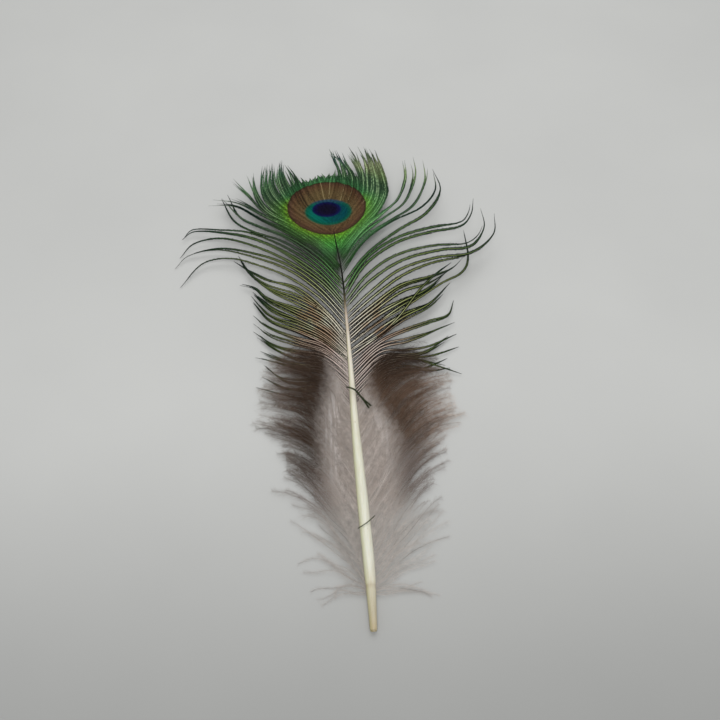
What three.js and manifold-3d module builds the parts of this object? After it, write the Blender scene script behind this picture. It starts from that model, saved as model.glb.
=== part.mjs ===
// A small peacock tail feather, lying on a surface with its upper side up. Millimetres, +Z up.
// The feather grew as one piece: the shaft carries the vane round the eye, the loose flues and tufts,
// and the down, and all of these are joined into one solid. Two scraps of broken barb lie on it.
// Every place is given as [x across, y along the shaft from the quill's tip, z up].
import * as THREE from 'three';
import Module from 'manifold-3d';
import { mergeVertices } from 'three/addons/utils/BufferGeometryUtils.js';

const wasm = await Module();
wasm.setup();

// Driving dimensions.
const REST_POINT = 45;        // from the quill's tip to the origin, on the flat underside of the down
const VANE_THICKNESS = 0.9;   // the close vane round the eye
const VANE_RISE = 0.05;       // how far it rises for each millimetre to the right of the shaft
const DOWN_BED = 1.0;         // the matted down that lies flat on the surface
const LOCK_SIDES = 6;
const MID_LOCKS = 12;         // on each side, between the long flues and the down
const DOWN_LOCKS = 9;         // on each side
const SCRAP_CLEARANCE = 0.3;  // between a loose scrap and what it lies on
const UP = new THREE.Vector3(0, 0, 1);

// The shaft: its middle line, and its radius at distances from the quill's tip.
const SHAFT_LINE = [
  [0, 0, 1.0], [0.2, 8, 1.2], [0.3, 18, 1.5], [0.3, 34, 1.6], [0, 57, 2], [0, 75, 2.5], [0, 94, 3.2],
  [-0.2, 112, 3.8], [-1.2, 124, 4.2], [-2.1, 134, 4.5], [-3.2, 148, 4.8],
];
const SHAFT_RADII = [
  [0, 0.8], [5, 1.0], [9, 1.05], [14, 1.4], [34, 1.4], [57, 1.15], [75, 0.9], [94, 0.65], [112, 0.55],
  [134, 0.4], [148, 0.3],
];

// The locks' forms: half the width across and half the height, evenly spaced from root to tip, and the
// rows of facets along one.
const FLUE = { rows: 7, across: [0.5, 0.9, 1.1, 1.1, 0.9, 0.4], high: [0.5, 0.5, 0.5, 0.45, 0.4, 0.3] };
const STOUT_FLUE = { rows: 7, across: [0.5, 0.9, 1.4, 1.7, 1.3, 0.5], high: [0.5, 0.6, 0.7, 0.7, 0.6, 0.4] };
const MID_FLUE = { rows: 5, across: [0.5, 0.9, 1, 0.9, 0.8, 0.35], high: [0.5, 0.5, 0.45, 0.4, 0.4, 0.35] };
const TUFT = { rows: 6, across: [0.6, 1.4, 1.9, 1.8, 1.3, 0.5], high: [0.4, 0.5, 0.5, 0.5, 0.45, 0.3] };
const FLUFF = { rows: 5, across: [2, 3, 3.6, 3.6, 2.8, 1], high: [1.1, 1.4, 1.5, 1.4, 1.1, 0.7] };

// The long flues of the left side, from the lowest up, root first. The outer ones touch the surface.
const LEFT_FLUES = [
  [[-0.3, 92, 3], [-8, 103, 4], [-16, 111, 4.2], [-25, 117, 4], [-34, 122, 3], [-44, 121, 1.8],
    [-50, 113, 0.3]],
  [[-0.3, 94.5, 3], [-7, 105, 4], [-16, 114, 4.2], [-26, 121, 4], [-38, 126, 3], [-48, 125.5, 1.4],
    [-53, 121, 0.4]],
  [[-0.3, 98.5, 3], [-7, 109, 4.2], [-17, 118, 4.4], [-27, 126, 4], [-38, 130.5, 3], [-46, 130, 2],
    [-51, 125, 1]],
  [[-0.5, 103, 3.4], [-8, 113.5, 4.5], [-17, 122.5, 4.8], [-28, 130, 4.4], [-38, 133.5, 3.6],
    [-47, 135.5, 2.4], [-51, 132, 1.6]],
  [[-0.7, 108, 3.6], [-7.5, 117, 4.9], [-17, 126, 5.3], [-26, 132, 5], [-33, 138, 4.2], [-37, 150, 3]],
  [[-1, 113, 3.8], [-7.5, 121, 4.9], [-16, 130, 5.4], [-24.5, 137, 5], [-33, 144.5, 4.2], [-42, 147.5, 3]],
  [[-1, 117, 3.9], [-7, 124, 4.8], [-16, 132.5, 5.1], [-24, 140, 4.7], [-29, 148, 4.1], [-35, 157.5, 3]],
  [[-2, 119.5, 4], [-7, 125, 4.9], [-15, 132.5, 5.4], [-23, 139.5, 5.1], [-27, 148, 4.5], [-28.5, 160, 3.5]],
];

// The tufts that stand past the eye, left and then right.
const TUFTS = [
  [[-2, 122.5, 4.1], [-8, 128.5, 5], [-15.5, 135, 5.4], [-22.5, 143.5, 5.2], [-24.5, 152, 4.9],
    [-23.5, 163, 4]],
  [[-2, 127, 4.3], [-12, 136, 5.2], [-18.5, 144, 5.2], [-21.5, 152, 5], [-21, 164.5, 4.2]],
  [[-2.5, 130, 4.4], [-12, 139.5, 5.2], [-15.5, 148, 5.2], [-17.5, 156, 5], [-17.5, 165, 4.4]],
  [[-2, 133, 4.5], [2, 145, 5.2], [3.5, 153, 5.5], [2.5, 160, 5.5], [-1, 167, 5.4]],
  [[-1.5, 129, 4.4], [4.5, 140, 5.3], [7.5, 147, 5.5], [8.5, 155, 5.7], [5, 168.5, 5.5]],
  [[-1, 127, 4.3], [6, 136, 5.3], [10, 143, 5.7], [11, 151, 5.8], [10.5, 159, 5.7], [8.5, 168, 5.5]],
  [[-0.5, 124, 4.2], [6.5, 132, 5.3], [12, 140, 5.8], [14, 148, 5.9], [13.5, 158, 5.9], [12, 168, 5.5]],
  [[0, 121, 4.1], [7, 129.5, 5.4], [13, 137, 5.9], [16.5, 145.5, 6.1], [16.5, 155, 6], [14, 168.5, 5.5]],
];

// The long flues of the right side, from the top down. They stand clear of the surface.
const RIGHT_FLUES = [
  [[0, 118, 4], [7, 128, 5.6], [14, 134.5, 6.2], [20, 140.5, 6.3], [23.5, 150.5, 6.1], [23, 161, 5.5]],
  [[0, 116, 3.9], [7, 126, 5.5], [15.5, 133, 6.2], [22.5, 139.5, 6.3], [27, 151.5, 6], [27, 161.5, 5.5]],
  [[0, 114, 3.9], [8, 125, 5.6], [17, 131.5, 6.3], [25, 137.5, 6.4], [30, 148, 6.1], [31, 159, 5.5]],
  [[0, 112, 3.8], [7.5, 123, 5.5], [17, 130.5, 6.3], [27, 136, 6.4], [33, 144, 6], [34, 153.5, 5.5]],
  [[0, 108, 3.6], [8, 118, 5.4], [18.5, 126.5, 6.3], [28.5, 133.5, 6.5], [34.5, 144, 6.1], [33.5, 155, 5.5]],
];
const STOUT_FLUES = [
  [[0, 103, 3.5], [7, 113, 5.5], [17.5, 121, 6.6], [28.5, 124.5, 7], [38.5, 126.5, 6.8], [43, 132, 6.4],
    [45, 140, 6]],
  [[0, 99, 3.3], [8, 107, 5.2], [18.5, 113.5, 6.5], [31, 116.5, 7], [40.5, 117.5, 6.9],
    [46, 125.5, 6.5], [46.5, 134.5, 6]],
  [[0, 96, 3.2], [8, 103, 5], [17.5, 110, 6.3], [29, 113.5, 7], [40.5, 115, 6.9], [48.5, 122.5, 6.5],
    [50.5, 132, 6]],
];

// Guides for the shorter flues below the long ones. The locks fan evenly from one guide to the next.
const LEFT_MID = [
  [[-0.5, 89, 3], [-6, 98, 4], [-15, 107, 4], [-24, 112, 3.3], [-34, 122, 1.2]],
  [[-0.5, 84, 2.8], [-6, 91.5, 3.7], [-15, 98, 3.7], [-23, 104, 3], [-32, 112, 1.2]],
  [[-0.5, 80.5, 2.7], [-7, 87.5, 3.4], [-15, 93, 3.3], [-23, 98.5, 2.3], [-29, 107.5, 0.6]],
  [[-0.5, 76, 2.5], [-7, 83, 3], [-14.5, 87, 2.8], [-23, 92, 1.8], [-28, 98.5, 0.3]],
  [[-0.5, 71, 2.4], [-7, 79, 2.7], [-15, 81, 2.4], [-22, 85.5, 1.5], [-27, 91, 0.3]],
  [[-0.5, 65, 2.2], [-7, 73.5, 2.1], [-13.5, 73, 1.8], [-19.5, 75, 1.2], [-25, 81, 0.3]],
];
const RIGHT_MID = [
  [[0, 92, 3.1], [8, 98, 4.7], [17, 104.5, 5.4], [27, 107.5, 5.2], [38.5, 116, 4]],
  [[0, 86.5, 2.9], [7.5, 92.5, 4.2], [16.5, 98, 4.5], [25, 103, 4], [32.5, 111, 2.8]],
  [[0, 80, 2.7], [9, 87, 3.6], [16.5, 93, 3.5], [26, 98, 2.5], [33, 107.5, 1]],
  [[0, 75, 2.5], [9, 83, 3], [17.5, 86, 2.6], [24.5, 88.5, 1.6], [32.5, 92.5, 0.3]],
  [[0, 70.5, 2.4], [8.5, 79.5, 2.6], [16, 80, 2.2], [22.5, 81.5, 1.4], [30, 87.5, 0.3]],
  [[0, 65, 2.2], [9, 75, 2.1], [16.5, 77, 1.8], [23, 75, 1.2], [31, 74.5, 0.3]],
];

// Guides for the down, from its top to the quill.
const LEFT_DOWN = [
  [[0, 64, 1.8], [-8, 73, 2], [-17, 74, 1.6], [-27, 70, 0.7]],
  [[0, 54, 1.7], [-8, 63, 2], [-18, 62, 1.6], [-28, 56, 0.7]],
  [[0, 44, 1.5], [-8, 52, 1.8], [-17, 49, 1.5], [-25, 41, 0.6]],
  [[0, 34, 1.4], [-7, 42, 1.6], [-13, 36, 1.2], [-18, 27, 0.6]],
  [[0, 24, 1.3], [-5, 30, 1.3], [-9, 22, 1], [-12, 12, 0.5]],
];
const RIGHT_DOWN = [
  [[0, 64, 1.8], [9, 73, 2], [19, 73, 1.6], [29, 68, 0.7]],
  [[0, 54, 1.7], [9, 64, 2], [20, 62, 1.6], [30, 56, 0.7]],
  [[0, 44, 1.5], [9, 53, 1.8], [18, 50, 1.5], [27, 44, 0.6]],
  [[0, 34, 1.4], [8, 42, 1.6], [15, 36, 1.2], [22, 27, 0.6]],
  [[0, 24, 1.3], [6, 31, 1.3], [11, 24, 1], [17, 13, 0.5]],
];

// The close vane round the eye, anticlockwise from its foot on the shaft, with its frayed top edge.
const VANE_OUTLINE = [
  [-1, 117], [3.5, 125], [8, 131], [12.5, 137], [15.5, 144], [15.5, 151], [13.5, 156], [11, 154.5],
  [9, 157.5], [7, 155], [4.5, 158.5], [2.5, 155.5], [0, 158.5], [-2, 155.5], [-4, 157], [-6, 154],
  [-8.5, 156], [-10, 152.5], [-12.5, 154], [-14, 150.5], [-17, 152], [-20, 150], [-22, 145.5],
  [-18.5, 140.5], [-12.5, 134], [-6.5, 127],
];

// The flat bed of matted down under the shaft.
const DOWN_OUTLINE = [
  [0, 10], [6, 16], [11, 24], [14, 34], [18, 44], [21, 54], [22, 64], [18, 72], [8, 74], [0, 70],
  [-8, 74], [-17, 73], [-20, 64], [-20, 54], [-17, 44], [-12, 34], [-8, 24], [-5, 16],
];

// The loose scraps of broken barb, in plan, and half their thickness.
const FORKED_SCRAP = [[-1.8, 69.3], [0.4, 68.1], [2.3, 65.3], [4, 62]];
const SHORT_SCRAP = [[-1.8, 26], [0.8, 27.5], [2.8, 29.2]];
const SCRAP_RADIUS = 0.2;
const SCRAP_SIDES = 5;
const SCRAP_ROWS = 6;

// The value at t between 0 and 1 in an evenly spaced list.
function fromList(list, t) {
  const place = t * (list.length - 1);
  const low = Math.min(Math.floor(place), list.length - 2);
  return THREE.MathUtils.lerp(list[low], list[low + 1], place - low);
}

// The value at x in a list of [x, value] pairs in rising order.
function fromPairs(pairs, x) {
  const above = pairs.findIndex(([at]) => at >= x);
  if (above === -1) return pairs[pairs.length - 1][1];
  if (above === 0) return pairs[0][1];
  const [x0, v0] = pairs[above - 1];
  const [x1, v1] = pairs[above];
  return THREE.MathUtils.mapLinear(x, x0, x1, v0, v1);
}

// A closed tapering body along a curve: the rings of a cylinder are moved onto it. size gives half the
// width and half the height at a share t of the length, where the curve is at the point centre.
function along(points, sides, rows, size) {
  const curve = new THREE.CatmullRomCurve3(points.map((p) => new THREE.Vector3(...p)));
  const flatBottom = Math.PI / sides;
  const geometry = new THREE.CylinderGeometry(1, 1, 1, sides, rows, false, flatBottom);
  const position = geometry.attributes.position;
  for (let i = 0; i < position.count; i += 1) {
    const t = position.getY(i) + 0.5;
    const centre = curve.getPointAt(t);
    const forward = curve.getTangentAt(t);
    const across = new THREE.Vector3().crossVectors(forward, UP).normalize();
    const lift = new THREE.Vector3().crossVectors(across, forward);
    const [halfWidth, halfHeight] = size(t, centre);
    centre.addScaledVector(across, position.getX(i) * halfWidth);
    centre.addScaledVector(lift, position.getZ(i) * halfHeight);
    position.setXYZ(i, centre.x, centre.y, centre.z);
  }
  return geometry;
}

function lock(points, form) {
  const size = (t) => [fromList(form.across, t), fromList(form.high, t)];
  return along(points, LOCK_SIDES, form.rows, size);
}

// count locks spread evenly over a list of guides, each between its two neighbours.
function fan(guides, count, form) {
  return Array.from({ length: count }, (_, k) => {
    const share = (k / (count - 1)) * (guides.length - 1);
    const low = Math.min(Math.floor(share), guides.length - 2);
    const points = guides[low].map((point, j) =>
      point.map((value, axis) => THREE.MathUtils.lerp(value, guides[low + 1][j][axis], share - low)));
    return lock(points, form);
  });
}

function plate(outline, thickness) {
  const shape = new THREE.Shape(outline.map(([x, y]) => new THREE.Vector2(x, y)));
  return new THREE.ExtrudeGeometry(shape, { depth: thickness, bevelEnabled: false });
}

// The vane follows the shaft's height and rises a little to the right.
function vane() {
  const heights = SHAFT_LINE.map(([, y, z]) => [y, z]);
  const geometry = plate(VANE_OUTLINE, VANE_THICKNESS);
  const position = geometry.attributes.position;
  for (let i = 0; i < position.count; i += 1) {
    const rise = Math.max(0, position.getX(i)) * VANE_RISE;
    const middle = fromPairs(heights, position.getY(i)) + rise;
    position.setZ(i, position.getZ(i) + middle - VANE_THICKNESS / 2);
  }
  return geometry;
}

function shaft() {
  const sides = 8;
  const rows = 24;
  return along(SHAFT_LINE, sides, rows, (t, centre) => {
    const radius = fromPairs(SHAFT_RADII, centre.y);
    return [radius, radius];
  });
}

// A block under the resting surface, which cuts the underside flat.
function belowSurface() {
  const side = 400;
  const depth = 20;
  return new THREE.BoxGeometry(side, side, depth).translate(0, 0, -depth / 2);
}

function toSolid(geometry) {
  geometry.deleteAttribute('normal');
  geometry.deleteAttribute('uv');
  const merged = mergeVertices(geometry);
  const vertProperties = new Float32Array(merged.attributes.position.array);
  const triVerts = new Uint32Array(merged.index.array);
  return new wasm.Manifold(new wasm.Mesh({ numProp: 3, vertProperties, triVerts }));
}

// Locks that cross can close off a pocket of air. Only the shell that holds the outermost corner is
// kept, so the pockets are filled. Two triangles are in one shell if a chain of shared edges joins them.
function outerShell(vertProperties, triVerts) {
  const count = triVerts.length / 3;
  const joinedTo = Array.from({ length: count }, (_, i) => i);
  const shellOf = (triangle) => {
    let root = triangle;
    while (joinedTo[root] !== root) root = joinedTo[root];
    joinedTo[triangle] = root;
    return root;
  };
  const firstAt = new Map();
  let outermost = 0;
  for (let i = 0; i < count; i += 1) {
    const corners = [0, 1, 2].map((k) => triVerts[i * 3 + k]);
    corners.forEach((corner, k) => {
      const edge = [corner, corners[(k + 1) % 3]].sort().join();
      if (firstAt.has(edge)) joinedTo[shellOf(i)] = shellOf(firstAt.get(edge));
      else firstAt.set(edge, i);
    });
    const reach = vertProperties[corners[0] * 3];
    if (reach > vertProperties[triVerts[outermost * 3] * 3]) outermost = i;
  }
  const shell = shellOf(outermost);
  return Array.from(triVerts).filter((_, k) => shellOf(Math.floor(k / 3)) === shell);
}

function toMesh(solid, name, material) {
  const { vertProperties, triVerts } = solid.getMesh();
  const geometry = new THREE.BufferGeometry();
  geometry.setAttribute('position', new THREE.BufferAttribute(vertProperties, 3));
  geometry.setIndex(outerShell(vertProperties, triVerts));
  geometry.computeVertexNormals();
  const mesh = new THREE.Mesh(geometry, material);
  mesh.name = name;
  mesh.position.y = -REST_POINT;
  return mesh;
}

function feather() {
  const pieces = [
    shaft(),
    vane(),
    plate(DOWN_OUTLINE, DOWN_BED),
    ...LEFT_FLUES.map((points) => lock(points, FLUE)),
    ...RIGHT_FLUES.map((points) => lock(points, FLUE)),
    ...STOUT_FLUES.map((points) => lock(points, STOUT_FLUE)),
    ...TUFTS.map((points) => lock(points, TUFT)),
    ...fan(LEFT_MID, MID_LOCKS, MID_FLUE),
    ...fan(RIGHT_MID, MID_LOCKS, MID_FLUE),
    ...fan(LEFT_DOWN, DOWN_LOCKS, FLUFF),
    ...fan(RIGHT_DOWN, DOWN_LOCKS, FLUFF),
  ];
  const joined = pieces.map(toSolid).reduce((whole, piece) => whole.add(piece));
  const solid = joined.subtract(toSolid(belowSurface()));
  const green = new THREE.MeshStandardMaterial({ color: 0x3f5f2c, roughness: 0.6, metalness: 0.1 });
  return toMesh(solid, 'feather', green);
}

// A scrap lies across the shaft, just clear of it, and level.
function scrap(name, plan, color) {
  const over = plan[1][1];
  const heights = SHAFT_LINE.map(([, y, z]) => [y, z]);
  const top = fromPairs(heights, over) + fromPairs(SHAFT_RADII, over);
  const height = top + SCRAP_CLEARANCE + SCRAP_RADIUS;
  const points = plan.map(([x, y]) => [x, y, height]);
  const body = along(points, SCRAP_SIDES, SCRAP_ROWS, () => [SCRAP_RADIUS, SCRAP_RADIUS]);
  const material = new THREE.MeshStandardMaterial({ color, roughness: 0.7, metalness: 0 });
  return toMesh(toSolid(body), name, material);
}

const part = new THREE.Group();
part.add(feather());
part.add(scrap('forked_scrap', FORKED_SCRAP, 0x2f3324));
part.add(scrap('short_scrap', SHORT_SCRAP, 0x6b675c));

export default part;
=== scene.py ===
import math

import bpy
import numpy as np
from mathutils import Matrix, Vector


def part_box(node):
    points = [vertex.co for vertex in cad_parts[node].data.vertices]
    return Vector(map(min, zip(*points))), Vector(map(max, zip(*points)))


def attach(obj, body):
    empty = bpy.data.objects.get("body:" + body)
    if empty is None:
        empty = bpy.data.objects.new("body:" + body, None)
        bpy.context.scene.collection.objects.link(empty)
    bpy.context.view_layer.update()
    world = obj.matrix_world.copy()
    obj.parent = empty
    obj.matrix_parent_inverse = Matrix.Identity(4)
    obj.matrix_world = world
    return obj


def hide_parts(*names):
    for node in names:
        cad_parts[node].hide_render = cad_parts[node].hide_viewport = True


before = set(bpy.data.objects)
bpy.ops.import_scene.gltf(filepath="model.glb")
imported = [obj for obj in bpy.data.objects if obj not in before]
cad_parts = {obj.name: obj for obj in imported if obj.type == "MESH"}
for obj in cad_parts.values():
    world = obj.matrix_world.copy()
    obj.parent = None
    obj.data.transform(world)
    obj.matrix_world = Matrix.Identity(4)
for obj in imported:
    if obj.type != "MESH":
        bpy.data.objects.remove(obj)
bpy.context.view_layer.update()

# --- Shaft ---
# One growth of keratin: a hollow quill, bare and round where it sat in the skin, that runs on
# as the pale rachis which carries every barb. It thins to a dark thread inside the eye.

MM = .001
QUILL_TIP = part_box("feather")[0].y / MM  # the quill's tip along the feather, in mm

SHAFT_LINE = [  # x, y from the quill's tip, z, in mm
    (0, 0, 1), (.2, 8, 1.2), (.3, 18, 1.5), (.1, 34, 1.6), (-.15, 57, 2),
    (0, 75, 2.5), (0, 94, 3.2), (-.2, 112, 3.9), (-1.2, 124, 4.4), (-2.1, 134, 4.8),
    (-3.2, 148, 5.2),
]
SHAFT_RADII = [  # y from the quill's tip and radius, in mm
    (0, .8), (.4, .9), (3, .97), (7, 1.12), (10.2, 1.25), (10.9, 1.22), (11.8, 1.3),
    (14, 1.42), (20, 1.5), (34, 1.52), (46, 1.38), (57, 1.14), (75, .74), (84, .57), (94, .42),
    (106, .27), (116, .22), (124, .19), (129, .15), (132, .1), (148, .05),
]
QUILL_BORE = .5  # mm, radius of the opening at the quill's tip
SHAFT_SIDES = 24
SHAFT_ROWS = 300
STATION_SPAN = 150  # mm from the quill's tip at which "station" is 1


def lengths(points):
    """How far along its line each point is."""
    steps = np.linalg.norm(np.diff(points, axis=0), axis=1)
    return np.concatenate([[0], np.cumsum(steps)])


def between(wanted, known, points):
    """The points of a line at other places along it."""
    return np.stack([np.interp(wanted, known, points[:, i]) for i in range(3)], 1)


def evenly(points, count):
    """The same line, as count points that lie equally far apart along it."""
    length = lengths(points)
    return between(np.linspace(0, length[-1], count), length, points)


def smooth_path(points, count, fine=14):
    """A smooth curve through listed points, given as x, y, z over and over."""
    p = np.reshape(points, (-1, 3)).astype(float)
    p = np.vstack([2 * p[0] - p[1], p, 2 * p[-1] - p[-2]])
    t = np.linspace(0, 1, fine, endpoint=False)[:, None]
    spans = []
    for a, b, c, d in zip(p, p[1:], p[2:], p[3:]):
        spans.append(.5 * (2 * b + (c - a) * t + (2 * a - 5 * b + 4 * c - d) * t**2
                            + (3 * b - a - 3 * c + d) * t**3))
    return evenly(np.vstack([*spans, p[-2:-1]]), count)


def frames(path, roll=0):
    """Along, sideways and upward directions at every point of a line that lies roughly flat."""
    along = np.gradient(path, axis=0)
    along /= np.linalg.norm(along, axis=1, keepdims=True)
    side = np.cross(along, (0, 0, 1))
    side /= np.linalg.norm(side, axis=1, keepdims=True)
    up = np.cross(side, along)
    roll = np.broadcast_to(np.asarray(roll, float), len(path))[:, None]
    return (along, side * np.cos(roll) + up * np.sin(roll), up * np.cos(roll) - side * np.sin(roll))


def new_piece(name, corners, faces, material, slot, nodes=(), uv=None, **values):
    """A mesh object from points in mm from the quill's tip and faces of one size each."""
    mesh = bpy.data.meshes.new(name)
    corners = (np.asarray(corners, float) + (0, QUILL_TIP, 0)) * MM
    sizes = np.concatenate([np.full(len(f), f.shape[1]) for f in faces])
    loops = np.concatenate([f.ravel() for f in faces])
    mesh.vertices.add(len(corners))
    mesh.vertices.foreach_set("co", corners.astype(np.float32).ravel())
    mesh.loops.add(len(loops))
    mesh.loops.foreach_set("vertex_index", loops.astype(np.int32))
    mesh.polygons.add(len(sizes))
    starts = np.concatenate([[0], np.cumsum(sizes)[:-1]])
    mesh.polygons.foreach_set("loop_start", starts.astype(np.int32))
    for word, numbers in values.items():
        layer = mesh.attributes.new(word, "FLOAT", "POINT")
        layer.data.foreach_set("value", np.asarray(numbers, np.float32))
    if uv is not None:
        layer = mesh.uv_layers.new(name="OFBake")
        layer.uv.foreach_set("vector", uv[loops].astype(np.float32).ravel())
    mesh.update(calc_edges=True)
    mesh.validate()
    mesh.polygons.foreach_set("use_smooth", np.ones(len(mesh.polygons), bool))
    mesh.materials.append(material)
    piece = bpy.data.objects.new(name, mesh)
    bpy.context.scene.collection.objects.link(piece)
    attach(piece, "root")
    if nodes:
        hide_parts(*nodes)


def new_material(name, roughness, specular=.5):
    """A new material and its shader. The helpers below add their nodes to the newest one."""
    global tree
    material = bpy.data.materials.new(name)
    material.use_nodes = True
    tree = material.node_tree
    shader = tree.nodes["Principled BSDF"]
    shader.inputs["Roughness"].default_value = roughness
    shader.inputs["Specular IOR Level"].default_value = specular
    return material, shader


def add(kind, *inputs, out=0, **settings):
    """A node whose inputs are numbers, other nodes' outputs, or None to leave them alone."""
    node = tree.nodes.new("ShaderNode" + kind)
    for word, value in settings.items():
        setattr(node, word, value)
    for socket, value in zip(node.inputs, inputs):
        if isinstance(value, bpy.types.NodeSocket):
            tree.links.new(value, socket)
        elif value is not None:
            socket.default_value = value
    return node.outputs[out]


def read(word):
    """A value that every point of the mesh carries."""
    return add("Attribute", attribute_name=word, out=2)


def noise(place, scale, detail, rough):
    """Noise at one scale, or at one for each of x, y and z."""
    if isinstance(scale, tuple):
        place, scale = add("VectorMath", place, scale, operation="MULTIPLY"), 1
    return add("TexNoise", place, None, scale, detail, rough)


def times(first, *others):
    """Numbers or sockets multiplied together."""
    for other in others:
        first = add("Math", first, other, operation="MULTIPLY")
    return first


def spread(value, low, high, to_low=0, to_high=1, smooth=True):
    """A value read between low and high and given back between to_low and to_high."""
    return add("MapRange", value, low, high, to_low, to_high, clamp=True,
               interpolation_type="SMOOTHSTEP" if smooth else "LINEAR")


def ramp(value, *stops):
    """A colour ramp: each stop is a place, red, green and blue."""
    node = add("ValToRGB", value).node
    band = node.color_ramp
    while len(band.elements) < len(stops):
        band.elements.new(.5)
    for element, (place, *colour) in zip(band.elements, stops):
        element.position = place
        element.color = (*colour, 1)
    return node.outputs[0]


def blend(share, first, second, mode="MIX"):
    """Two colours mixed, by a share that may be a number or a socket."""
    node = add("Mix", data_type="RGBA", blend_type=mode).node
    for place, value in ((0, share), (6, first), (7, second)):
        if isinstance(value, bpy.types.NodeSocket):
            tree.links.new(value, node.inputs[place])
        else:
            node.inputs[place].default_value = (*value, 1) if isinstance(value, tuple) else value
    return node.outputs[2]


def tint(colour, by):
    """A colour multiplied by another, or by a grey value."""
    if isinstance(by, bpy.types.NodeSocket) and by.type == "VALUE":
        by = add("CombineColor", by, by, by)
    return blend(1, colour, by, "MULTIPLY")


def shaft_line(y):
    """The middle of the shaft at y, in mm from the quill's tip."""
    line = np.asarray(SHAFT_LINE, float)
    x = np.interp(y, line[:, 1], line[:, 0])
    z = np.interp(y, line[:, 1], line[:, 2])
    return np.stack([x, np.broadcast_to(y, np.shape(x)), z], -1)


keratin, shader = new_material("shaft_keratin", .36, .22)
shader.inputs["Subsurface Weight"].default_value = .12
shader.inputs["Subsurface Radius"].default_value = (.9, .75, .4)
shader.inputs["Subsurface Scale"].default_value = .0006
shader.inputs["Coat Roughness"].default_value = .3
height = read("station")
tree.links.new(times(spread(height, .66, .5), .25), shader.inputs["Coat Weight"])
tree.links.new(spread(height, .5, .7, .36, .95), shader.inputs["Roughness"])
place = add("TexCoord", out=3)
ivory = ramp(height, (0,.5,.42,.27), (.03,.54,.49,.36), (.068,.6,.56,.43), (.073,.52,.46,.34),
             (.08,.7,.67,.55), (.12,.75,.745,.64), (.36,.75,.745,.625), (.56,.75,.7,.6),
             (.635,.58,.48,.4), (.675,.11,.09,.05), (.7,.004,.005,.002), (1,.008,.006,.005))
streaks = noise(place, (2600, 160, 2600), 3, .6)
streaked = blend(spread(streaks, .35, .75, 0, .35), ivory, tint(ivory, (.66, .58, .4)))
# Painted shade: the shaft is darkened and tinted olive towards its left side, where the side value is
# negative.
shade = blend(spread(read("side"), -.1, -.95, 0, .75), streaked, tint(streaked, (.8, .82, .6)))
specks = noise(place, (900, 500, 900), 2, .5)
spotted = blend(spread(specks, .7, .78, 0, .6), shade, (.3, .22, .14))
tree.links.new(spotted, shader.inputs["Base Color"])
grain = add("Bump", .25, .00006)
tree.links.new(streaks, grain.node.inputs["Height"])
tree.links.new(grain, shader.inputs["Normal"])

line = smooth_path(SHAFT_LINE, SHAFT_ROWS)
radii = np.interp(line[:, 1], *np.asarray(SHAFT_RADII, float).T)
angle = np.linspace(0, 2 * np.pi, SHAFT_SIDES, endpoint=False)
along, side, up = frames(line)
# The section is a little flat above, and has the shallow groove of a rachis below.
groove = 1 - .16 * np.exp(-((angle - 1.5 * np.pi) / .3) ** 2) - .05 * np.maximum(np.sin(angle), 0)
ring = side[:, None] * np.cos(angle)[:, None] + up[:, None] * (np.sin(angle) * groove)[:, None]
outside = line[:, None] + ring * radii[:, None, None]
# The opening, as depths and radii in mm: its rounded rim, its wall and its closed end.
bore = [(.02, QUILL_BORE + .12), (.5, QUILL_BORE), (1.6, QUILL_BORE * .8), (2.1, .02)]
inside = [line[0] + along[0] * deep + ring[0] * wide for deep, wide in bore[::-1]]
corners = np.concatenate([np.asarray(inside), outside])
count = len(corners)
grid = np.arange(count * SHAFT_SIDES).reshape(count, SHAFT_SIDES)
turned = np.roll(grid, -1, axis=1)
skin = np.stack([grid[:-1], turned[:-1], turned[1:], grid[1:]], -1).reshape(-1, 4)
tip_cap = np.stack([np.full(SHAFT_SIDES - 2, grid[-1, 0]), grid[-1, 1:-1], grid[-1, 2:]], 1)
bore_cap = np.stack([np.full(SHAFT_SIDES - 2, grid[0, 0]), grid[0, 2:], grid[0, 1:-1]], 1)
corners = corners.reshape(-1, 3)
new_piece("shaft", corners, [skin, tip_cap, bore_cap], keratin, "shaft",
          station=corners[:, 1] / STATION_SPAN, side=np.tile(np.cos(angle), count))

# --- Long flues ---
# The long loose barbs, or flues, of both sides. Each is a flat thread of keratin fringed on
# both edges with short dark barbules that don't hook together, so the flues hang apart.

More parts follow.
